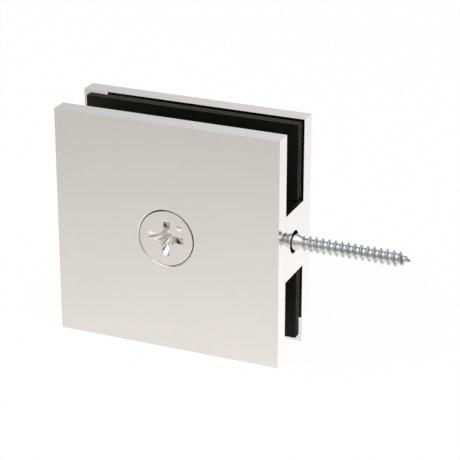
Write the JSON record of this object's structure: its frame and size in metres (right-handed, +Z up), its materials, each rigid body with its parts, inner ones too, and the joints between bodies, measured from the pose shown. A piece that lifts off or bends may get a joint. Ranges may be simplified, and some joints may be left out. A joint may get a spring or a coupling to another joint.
{
  "type": "glass panel clamp",
  "caption": "Square wall clamp for a notched glass panel: back plate with neck, screwed cover plate, two rubber pads and a wood screw into the wall.",
  "frame": {"origin": "middle of the neck's end face, where it meets the wall, on the wood screw's axis", "axes": "+X into the wall along the wood screw, -Y towards the cover plate, +Z up"},
  "size_m": [0.0764, 0.018, 0.0508],
  "materials": {
    "polished_nickel": "polished nickel plate",
    "black_rubber": "matt black rubber sheet",
    "nickel_screw": "polished nickel plate",
    "zinc_screw": "bright zinc plate"
  },
  "bodies": {
    "body": {"clamp_body": "polished_nickel", "back_gasket": "black_rubber"},
    "cover": {"front_plate": "polished_nickel", "front_gasket": "black_rubber"},
    "clamp_screw": {"clamp_screw": "nickel_screw"},
    "wall_screw": {"wall_screw": "zinc_screw"}
  },
  "joints": [
    {"name": "cover_slide", "type": "slide", "parent": "body", "child": "cover", "axis": [0, -1, 0], "range_m": [0, 0.01]},
    {"name": "clamp_screw_turn", "type": "hinge", "parent": "cover", "child": "clamp_screw", "pos_m": [-0.0254, -0.00895, 0], "axis": [0, -1, 0], "range_deg": [0, 3600]},
    {"name": "wall_screw_turn", "type": "hinge", "parent": "body", "child": "wall_screw", "pos_m": [0, 0, 0], "axis": [1, 0, 0], "continuous": true}
  ],
  "couplings": [
    {"joint": "clamp_screw_turn", "follows": "cover_slide", "rad_per_m": 6283.2}
  ]
}
